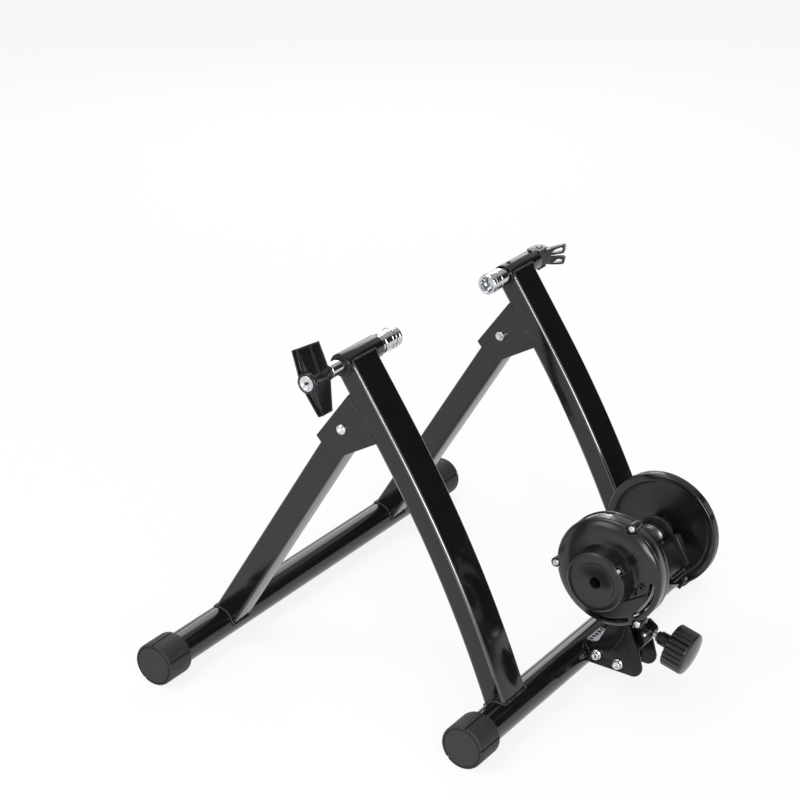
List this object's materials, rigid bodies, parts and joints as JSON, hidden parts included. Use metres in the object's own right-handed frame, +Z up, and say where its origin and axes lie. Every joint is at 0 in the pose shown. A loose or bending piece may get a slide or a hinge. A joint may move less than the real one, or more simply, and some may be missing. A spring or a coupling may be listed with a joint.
{
  "type": "bike trainer",
  "caption": "Folding magnetic bike trainer: an A-frame stand that clamps the rear axle, with a tilting roller unit that has a magnetic brake and a flywheel.",
  "frame": {"origin": "on the floor under the middle of the trainer's length and width", "axes": "+X to the rear of the bicycle, +Y to the bicycle's right side, +Z up"},
  "size_m": [0.5326, 0.594, 0.4147],
  "materials": {
    "black_paint": "satin to gloss black powder coat",
    "black_rubber": "matte charcoal",
    "gloss_black_plastic": "gloss black",
    "black_bush": "matte black",
    "chrome": "polished",
    "zinc_steel": "bright zinc plating",
    "bare_steel": "machined"
  },
  "bodies": {
    "frame": {"rear_base_tube": "black_paint", "rear_foot_cap_left": "black_rubber", "rear_foot_cap_right": "black_rubber", "upright_left": "black_paint", "upright_right": "black_paint", "barrel_left": "black_paint", "barrel_right": "black_paint", "bush_left": "black_bush", "bush_right": "black_bush", "gusset_left": "black_paint", "gusset_right": "black_paint", "fold_bolt_left": "zinc_steel", "fold_bolt_right": "zinc_steel", "fold_nut_left": "zinc_steel", "fold_nut_right": "zinc_steel", "mount_lug": "black_paint", "mount_plate_left": "black_paint", "mount_plate_right": "black_paint", "mount_bolt_front": "zinc_steel", "mount_bolt_rear": "zinc_steel", "mount_nut_front": "zinc_steel", "mount_nut_rear": "zinc_steel", "mount_strip": "zinc_steel", "trunnion": "black_paint", "lever_yoke": "black_paint", "lever_pin": "zinc_steel"},
    "front_legs": {"front_base_tube": "black_paint", "front_foot_cap_left": "black_rubber", "front_foot_cap_right": "black_rubber", "leg_left": "black_paint", "leg_right": "black_paint", "leg_bush_left": "bare_steel", "leg_bush_right": "bare_steel"},
    "left_clamp": {"left_cup": "chrome"},
    "left_screw": {"left_handle": "gloss_black_plastic", "left_handle_bolt": "zinc_steel", "left_spindle": "chrome"},
    "right_clamp": {"right_cup": "chrome", "right_spindle": "chrome"},
    "cam_lever": {"right_lever": "black_paint"},
    "unit": {"cradle": "black_paint", "wire_loop": "zinc_steel", "bearing_left": "bare_steel", "bearing_right": "bare_steel", "brake_backplate": "zinc_steel", "brake_cover": "gloss_black_plastic"},
    "magnets": {"magnet_plate": "bare_steel"},
    "spinner": {"roller_shaft": "bare_steel", "roller": "bare_steel", "brake_rotor": "bare_steel", "flywheel": "black_paint", "flywheel_nut": "zinc_steel"},
    "tip": {"screw_tip": "zinc_steel"},
    "adjuster": {"tension_screw": "zinc_steel", "knob": "gloss_black_plastic"}
  },
  "joints": [
    {"name": "legs_fold", "type": "hinge", "parent": "frame", "child": "front_legs", "pos_m": [-0.06459, 0, 0.30702], "axis": [0, -1, 0], "range_deg": [0, 59]},
    {"name": "left_clamp_slide", "type": "slide", "parent": "frame", "child": "left_clamp", "axis": [0, 1, 0], "range_m": [-0.006, 0.006]},
    {"name": "left_handle_turn", "type": "hinge", "parent": "left_clamp", "child": "left_screw", "pos_m": [-0.06258, -0.2, 0.3806], "axis": [0, 1, 0], "range_deg": [-720, 720]},
    {"name": "lever_swing", "type": "hinge", "parent": "frame", "child": "cam_lever", "pos_m": [-0.06258, 0.2193, 0.3806], "axis": [0, 0, 1], "range_deg": [0, 90]},
    {"name": "right_clamp_slide", "type": "slide", "parent": "frame", "child": "right_clamp", "axis": [0, 1, 0], "range_m": [0, 0.004]},
    {"name": "unit_tilt", "type": "hinge", "parent": "frame", "child": "unit", "pos_m": [0.18322, 0, 0.0258], "axis": [0, 1, 0], "range_deg": [-3.88, 11.62]},
    {"name": "tip_slide", "type": "slide", "parent": "frame", "child": "tip", "axis": [0.9627, 0, -0.2706], "range_m": [-0.00313, 0.00937]},
    {"name": "knob_turn", "type": "hinge", "parent": "tip", "child": "adjuster", "pos_m": [0.20992, 0, 0.0664], "axis": [0.9627, 0, -0.2706], "range_deg": [-900, 2700]},
    {"name": "roller_spin", "type": "hinge", "parent": "unit", "child": "spinner", "pos_m": [0.18892, 0, 0.1585], "axis": [0, 1, 0], "continuous": true},
    {"name": "magnet_shift", "type": "hinge", "parent": "unit", "child": "magnets", "pos_m": [0.18892, -0.06, 0.1585], "axis": [0, 1, 0], "range_deg": [0, 30]}
  ],
  "couplings": [
    {"joint": "left_clamp_slide", "follows": "left_handle_turn", "m_per_rad": 0.00047746},
    {"joint": "right_clamp_slide", "follows": "lever_swing", "m_per_rad": 0.0025465},
    {"joint": "unit_tilt", "follows": "knob_turn", "ratio": 0.004301},
    {"joint": "tip_slide", "follows": "knob_turn", "m_per_rad": 0.00019894}
  ]
}
